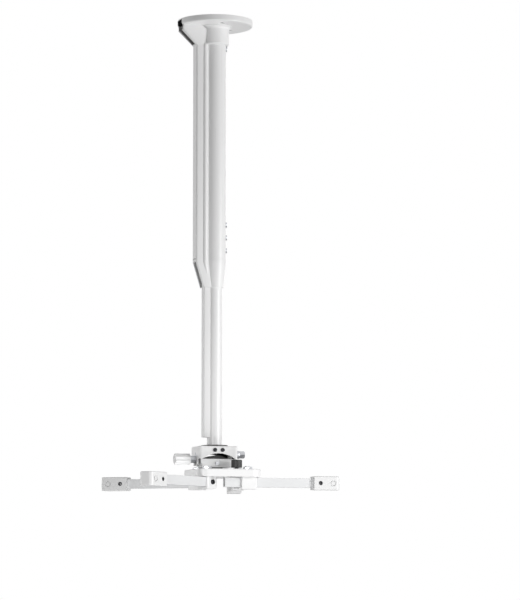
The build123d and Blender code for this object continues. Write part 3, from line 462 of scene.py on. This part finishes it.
screw_low, screw_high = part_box("socket_screw")
tube_screw = socket_screw(
    "tube_socket_screw",
    (seat_x, 0, (screw_low.z + screw_high.z) / 2),
    (1, 0, 0),
    column_head,
    column_rise,
    column_shank,
    seat_x - screw_low.x,
    column_key,
)
fit(tube_screw, steel, "ceiling", "steel", "socket_screw")

# Taper collar: a moulded shroud that narrows from the upper column to the lower one. It plugs
# into the tube's foot, and its slope is slit where the cables come out. Grey painted shade
# within stands for the shadow in the slit.
taper_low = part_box("taper_collar")[0]
tube_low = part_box("outer_tube")[0]
taper_skirt, taper_skin = 0.006, 0.0010
taper_end, taper_half, taper_depth = -0.0229, 0.0092, 0.010
taper_fall = tube_low.z - taper_skirt - taper_low.z


def taper_shaded_inside(x, y, z):
    """Painted shade behind the sloping wall, between its cheeks and as deep as the cables lie.
    """
    rise = (z - taper_low.z) * (1 / taper_fall)
    slope = taper_end + (cover_low.x - taper_end) * rise
    return (abs(y) < taper_half) * (x > slope + taper_skin) * (x < taper_end + taper_depth)


dress(moulded("taper_plastic_painted_shade", white_pale, white_shade, taper_shaded_inside), "taper_collar")

# Lower column: a thinner extruded tube that slides in the sleeve, with its own cable strip
# clipped along it. Both have the same white lacquer as the upper column.
dress(column_lacquer, "inner_tube", "lower_cable_cover")

# Spigot: a turned steel plug in the tube's foot, held by a cross pin. The neck goes through
# the yoke, and the flange below it carries the head.
dress(steel, "spigot", "spigot_pin")

# Swivel washer: a black plastic disc with a hole for the spigot's neck. It lies loose between
# the tube and the yoke, so that the head turns on it.
dress(black_plastic, "swivel_washer")

# Yoke: a zinc casting, white outside, that turns on the spigot. Black painted shade within
# stands for the shadow under its roof. Its walls are arched at the front and back. A notched
# steel plate is let into its left side.
yoke_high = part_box("yoke")[1]
yoke_shell, yoke_roof = 0.0024, 0.0036


def yoke_shaded_inside(x, y, z):
    """Painted shade within the casting's walls and under its roof."""
    across = abs(x) < yoke_high.x - yoke_shell
    through = abs(y) < yoke_high.y - yoke_shell
    return across * through * (z < yoke_high.z - yoke_roof)


dress(powder_coat("yoke_coat_painted_shade", yoke_shaded_inside), "yoke", "lock_leg")

# Yaw lock screws: two blackened socket screws in the yoke's front wall that bear on the
# spigot's flange and hold the head from turning.
black_bright, black_dull = (0.055, 0.055, 0.06, 1.0), (0.03, 0.03, 0.033, 1.0)
dark_steel = plated("blackened_steel", black_bright, black_dull)
yaw_head, yaw_rise, yaw_shank, yaw_key = 0.0033, 0.0016, 0.00245, 0.003
screw_low, screw_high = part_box("yaw_lock_screws")
yaw_screws = [
    socket_screw(
        "yaw_screw",
        (x, screw_low.y + yaw_rise, (screw_low.z + screw_high.z) / 2),
        (0, -1, 0),
        yaw_head,
        yaw_rise,
        yaw_shank,
        screw_high.y - screw_low.y - yaw_rise,
        yaw_key,
    )
    for x in (screw_low.x + yaw_head, screw_high.x - yaw_head)
]
yaw_pair = gather("yaw_lock_screw_pair", yaw_screws)
fit(yaw_pair, dark_steel, "swivel", "dark_screw", "yaw_lock_screws")

# Pitch cradle: a folded and welded pan, coated white, that hangs between the yoke's legs on two
# steel pins. Thin black washers keep its ears off the legs.
dress(white_coat, "cradle")
dress(steel, "pitch_pins", "roll_pin")
dress(black_plastic, "pitch_washers")

# Pitch nut: a long hexagon nut with a round flange, outside the right leg, that draws the ears
# together. It is turned from bar, its corners are chamfered and it is zinc-plated.
round_sides, hole_sides = 48, 32


def bore(piece, radius, rise):
    """Drills a piece of a height right through."""
    combine(piece, cylinder("hole", hole_sides, radius, -rise, 2 * rise), "DIFFERENCE")


def hexagon_nut(name, seat, out, width, rise, hole):
    """A nut across flats of a width, with both ends chamfered, on its seat."""
    nut_sides, corner = 6, width / sqrt(3)
    chamfer = corner - 0.49 * width
    nut = cylinder(name, nut_sides, corner, 0.0, rise)
    turned = cylinder("turned", round_sides, corner, 0.0, rise)
    break_rim(turned, 0.0, chamfer, segments=1)
    break_rim(turned, rise, chamfer, segments=1)
    combine(nut, turned, "INTERSECT")
    bore(nut, hole, rise)
    smooth(nut)
    set_down(nut, seat, out)
    return nut


nut_low, nut_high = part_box("pitch_nut")
pin_radius, flange_rim = 0.00305, 0.0006
nut_middle = (nut_low + nut_high) / 2
flange_radius = nut_high.y - nut_middle.y
flange_length = (nut_high.x - nut_low.x) / 2
nut_width = flange_radius * sqrt(3)
pitch_flange = cylinder("pitch_flange", round_sides, flange_radius, 0.0, flange_length)
break_rim(pitch_flange, 0.0, flange_rim)
break_rim(pitch_flange, flange_length, flange_rim)
bore(pitch_flange, pin_radius, flange_length)
smooth(pitch_flange)
set_down(pitch_flange, (nut_low.x, nut_middle.y, nut_middle.z), (1, 0, 0))
pitch_hexagon = hexagon_nut(
    "pitch_hexagon",
    (nut_low.x + flange_length, nut_middle.y, nut_middle.z),
    (1, 0, 0),
    nut_width,
    flange_length,
    pin_radius,
)
pitch_nut = gather("pitch_flange_nut", [pitch_flange, pitch_hexagon])
fit(pitch_nut, steel, "pitch", "steel", "pitch_nut")


# Lock knob: a six-lobed moulded hand knob on the end of the lock bolt. Turning it draws the
# cradle's left ear against the notched plate. Satin white, with a sunk cap at its end.
def fluted(name, radius, rise, rim, flutes, cutter, bite):
    """An upright knob with a rounded rim, whose grip is cut by a ring of round flutes."""
    grip_sides, flute_sides = 72, 24
    knob = cylinder(name, grip_sides, radius, 0.0, rise)
    break_rim(knob, rise, rim)
    break_rim(knob, 0.0, rim / 2)
    reach = radius + cutter - bite
    for index in range(flutes):
        turn = radians(360 * (index + 0.5) / flutes)
        flute = cylinder("flute", flute_sides, cutter, -rise, 2 * rise)
        set_down(flute, (reach * cos(turn), reach * sin(turn), 0.0), (0, 0, 1))
        combine(knob, flute, "DIFFERENCE")
    return knob


dress(steel, "lock_bolt")
knob_low, knob_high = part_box("lock_knob")
knob_middle = (knob_low + knob_high) / 2
knob_radius = (knob_high.y - knob_low.y) / 2
knob_rise = knob_high.x - knob_low.x
knob_rim, lobes, lobe_cutter, lobe_bite = 0.0012, 6, 0.0036, 0.0018
cap_sides, cap_radius, cap_sink = 32, 0.0055, 0.0012
lock_knob = fluted(
    "lobed_lock_knob", knob_radius, knob_rise, knob_rim, lobes, lobe_cutter, lobe_bite
)
cap = cylinder("cap", cap_sides, cap_radius, knob_rise - cap_sink, 2 * knob_rise)
combine(lock_knob, cap, "DIFFERENCE")
smooth(lock_knob)
set_down(lock_knob, (knob_high.x, knob_middle.y, knob_middle.z), (-1, 0, 0))
white_plastic = moulded("white_plastic", white_pale, white_shade)
fit(lock_knob, white_plastic, "pitch_lock", "grey_plastic", "lock_knob")

# Roll saddle: a black glass-filled nylon block with an arched crown. It rocks on the roll pin
# in the cradle, and its neck carries the hub.
saddle_dullness = 0.5
dress(black_moulded("saddle_nylon", saddle_dullness), "roll_saddle")

# Hub tray: a pan pressed from steel sheet and coated white, open below, with a pivot hole
# near each corner. Four plated socket screws from below hold it to the saddle's neck.
dress(white_coat, "hub_tray")
hub_head, hub_rise, hub_shank, hub_key = 0.0035, 0.0035, 0.00195, 0.003
bolt_low, bolt_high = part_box("hub_bolts")
hub_screws = [
    socket_screw(
        "hub_screw",
        (x, y, bolt_low.z + hub_rise),
        (0, 0, -1),
        hub_head,
        hub_rise,
        hub_shank,
        bolt_high.z - bolt_low.z - hub_rise,
        hub_key,
    )
    for x in (bolt_low.x + hub_head, bolt_high.x - hub_head)
    for y in (bolt_low.y + hub_head, bolt_high.y - hub_head)
]
hub_set = gather("hub_screw_set", hub_screws)
fit(hub_set, steel, "hub", "steel", "hub_bolts")

# Release knob: a fluted thumbscrew at the front of the hub, moulded in black plastic with its
# stem. Slackening it frees the tray.
release_low, release_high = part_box("release_knob")
release_middle = (release_low + release_high) / 2
release_rise, release_rim = 0.013, 0.0012
release_radius = (release_high.x - release_low.x) / 2
release_flutes, flute_cutter, flute_bite = 18, 0.0009, 0.0006
release_knob = fluted(
    "fluted_release_knob",
    release_radius,
    release_rise,
    release_rim,
    release_flutes,
    flute_cutter,
    flute_bite,
)
stem_sides, stem_radius = 24, 0.003
stem_length = release_high.z - release_low.z - release_rise
stem = cylinder("stem", stem_sides, stem_radius, -stem_length, release_rise / 2)
break_rim(stem, -stem_length, release_rim / 2)
combine(release_knob, stem, "UNION")
smooth(release_knob)
set_down(
    release_knob,
    (release_middle.x, release_middle.y, release_high.z - release_rise),
    (0, 0, 1),
)
fit(release_knob, black_plastic, "hub_release", "black_plastic", "release_knob")


# Arms: a cast sleeve turns on a pivot at each corner of the hub, under a plated nut. A bar of
# anodised tube slides through it, clamped by a blackened screw from the side. It ends in a pale
# grey moulded foot, with a screw sunk in each flank and a hole for the projector's own screw.
def anodised(name, turn):
    """Pale anodised tube: die lines along the arm and a satin, slightly mottled skin.
    turn brings the arm's direction to the x axis."""
    pale, shade = (0.74, 0.745, 0.75, 1.0), (0.69, 0.695, 0.70, 1.0)
    line_waves, line_depth, edge = (5.0, 900.0, 900.0), 0.00001, 0.0005
    cloud_waves, cloud_detail = 60.0, 3.0
    line_tone, cloud_tone = 0.6, 0.4
    dullness, line_share, sheen = 0.34, 0.12, 0.06
    finish, place = new_finish(name)
    turned = finish.stretched(place, turn=turn)
    lines = finish.noise(finish.stretched(turned, line_waves))
    cloud = finish.noise(place, cloud_waves, cloud_detail)
    tone = line_tone * lines + cloud_tone * cloud
    finish.feed("Base Color", finish.blend(tone, shade, pale))
    finish.feed("Roughness", dullness + line_share * lines)
    finish.fix(metallic=sheen)
    roughen(finish, lines, line_depth, edge)
    return finish.material


joints = {joint["name"]: joint for joint in frame["joints"]}
arm_nut_width, arm_pin = 0.014, 0.005
side_head, side_rise, side_shank, side_reach = 0.004, 0.003, 0.00245, 0.010
side_wall, side_key = 0.0037, 0.004
foot_pale, foot_shade = 0.78, 0.75
foot_plastic = moulded("foot_plastic", foot_pale, foot_shade)
for arm in ("near_left", "far_left", "near_right", "far_right"):
    ahead = Vector(joints[f"{arm}_slide"]["axis"])
    left = Vector((-ahead.y, ahead.x, 0.0))
    pivot = Vector(joints[f"{arm}_swing"]["pos_m"])
    bearing = Vector((1.0, 0.0)).angle_signed(ahead.xy)
    dress(white_coat, f"{arm}_sleeve")
    dress(anodised(f"{arm}_anodised", bearing), f"{arm}_bar")
    dress(foot_plastic, f"{arm}_foot")
    dress(dark_steel, f"{arm}_foot_screw")

    nut_low, nut_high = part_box(f"{arm}_sleeve_nut")
    arm_nut = hexagon_nut(
        f"{arm}_pivot_nut",
        (pivot.x, pivot.y, nut_low.z),
        (0, 0, 1),
        arm_nut_width,
        nut_high.z - nut_low.z,
        arm_pin,
    )
    fit(arm_nut, steel, f"{arm}_pivot", "steel", f"{arm}_sleeve_nut")

    screw_low, screw_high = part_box(f"{arm}_sleeve_screw")
    level = (screw_low.z + screw_high.z) / 2
    side_screw = socket_screw(
        f"{arm}_side_screw",
        Vector((pivot.x, pivot.y, level)) + left * side_reach,
        left,
        side_head,
        side_rise,
        side_shank,
        side_wall,
        side_key,
    )
    fit(side_screw, dark_steel, f"{arm}_pivot", "dark_screw", f"{arm}_sleeve_screw")

# Floor: a plain pale sheet far below the mount, matt, that takes its shadow. It is clear from
# its underside, so that the mount can be looked at from below.
floor_drop, floor_side = 2.6, 30.0
floor_tone, floor_dullness, floor_glow = 0.8, 0.9, 0.75
bpy.ops.object.select_all(action="DESELECT")
bpy.ops.mesh.primitive_plane_add(size=floor_side, location=(0.0, 0.0, -floor_drop))
floor = bpy.context.object
floor.name = "floor"
bpy.ops.object.transform_apply(location=True)
floor_finish = new_finish("pale_floor")[0]
floor_finish.fix(base_color=grey(floor_tone), roughness=floor_dullness)
floor_tree = floor_finish.material.node_tree
sheet = Finish(floor_finish.material, floor_tree.nodes["Principled BSDF"].outputs[0])
glow = floor_finish.add("ShaderNodeEmission", {}, {"Color": grey(1.0)})
clear = floor_finish.add("ShaderNodeBsdfTransparent", {}, {})
looked_at = floor_finish.add("ShaderNodeLightPath", {}, {}, "Is Camera Ray")
below = floor_finish.add("ShaderNodeNewGeometry", {}, {}, "Backfacing")
lit = {0: floor_glow * looked_at, 1: sheet, 2: glow}
above = floor_finish.add("ShaderNodeMixShader", {}, lit)
shown = floor_finish.add("ShaderNodeMixShader", {}, {0: below, 1: above, 2: clear})
floor_tree.links.new(shown.socket, floor_tree.nodes["Material Output"].inputs["Surface"])
floor.data.materials.append(floor_finish.material)

# Camera: a long lens stands in front of the mount and a little below its feet, turned towards
# the cable side. Its axis passes to the right of the column.
view_turn = radians(18.0)
view_aside, view_distance, view_height = 0.0755, 4.656, -0.9524
view_pitch, view_lens, view_film = radians(5.908), 168.71, 36.0


def from_view(x, y, z):
    """A point given across, away from and above the camera's own line of sight."""
    across = x * cos(view_turn) + y * sin(view_turn)
    away = y * cos(view_turn) - x * sin(view_turn)
    return Vector((across, away, z))


camera_data = bpy.data.cameras.new("camera")
camera_data.sensor_width = view_film
camera_data.lens = view_lens
camera = bpy.data.objects.new("camera", camera_data)
bpy.context.scene.collection.objects.link(camera)
camera.location = from_view(view_aside, -view_distance, view_height)
look_at = from_view(view_aside, 0.0, view_height + view_distance * tan(view_pitch))
camera.rotation_euler = (look_at - camera.location).to_track_quat("-Z", "Y").to_euler()
bpy.context.scene.camera = camera


# Light: a white studio, plain white to the camera and dimmer as light. Large soft boxes stand
# on the right, on the left and low in front, so that the mount grows brighter towards its
# feet, and a small one in front picks out the head.
def soft_box(name, place, aim, width, height, power, spread=180.0):
    """A rectangular lamp at a place as the camera sees it, that faces a height on the column."""
    lamp = bpy.data.lights.new(name, "AREA")
    lamp.shape = "RECTANGLE"
    lamp.size = width
    lamp.size_y = height
    lamp.energy = power
    lamp.spread = radians(spread)
    holder = bpy.data.objects.new(name, lamp)
    bpy.context.scene.collection.objects.link(holder)
    holder.location = from_view(*place)
    facing = Vector((0.0, 0.0, aim)) - from_view(*place)
    holder.rotation_euler = facing.to_track_quat("-Z", "Y").to_euler()


studio = bpy.data.worlds.new("studio")
bpy.context.scene.world = studio
studio.use_nodes = True
sky = Finish(studio)
ambient = 0.28
path = sky.add("ShaderNodeLightPath", {}, {}).socket.node
seen, mirrored, through = (
    Finish(studio, path.outputs[name])
    for name in ("Is Camera Ray", "Is Glossy Ray", "Is Transmission Ray")
)
background = studio.node_tree.nodes["Background"]
background.inputs["Color"].default_value = grey(1.0)
strength = ambient + (1 - ambient) * (seen | mirrored | through)
studio.node_tree.links.new(strength.socket, background.inputs["Strength"])

soft_box("right_box", (1.6, -0.8, -0.65), aim=-0.5, width=0.8, height=1.0, power=21.0)
soft_box("left_box", (-2.2, 0.4, -0.7), aim=-0.5, width=1.0, height=1.4, power=12.0)
soft_box("low_box", (0.2, -0.7, -2.0), aim=-0.4, width=0.7, height=0.7, power=11.0)
soft_box(
    "head_box", (-0.55, -1.2, -0.70), aim=-0.77, width=0.3, height=0.2, power=0.18, spread=40.0
)
bpy.context.scene.view_settings.view_transform = "Standard"
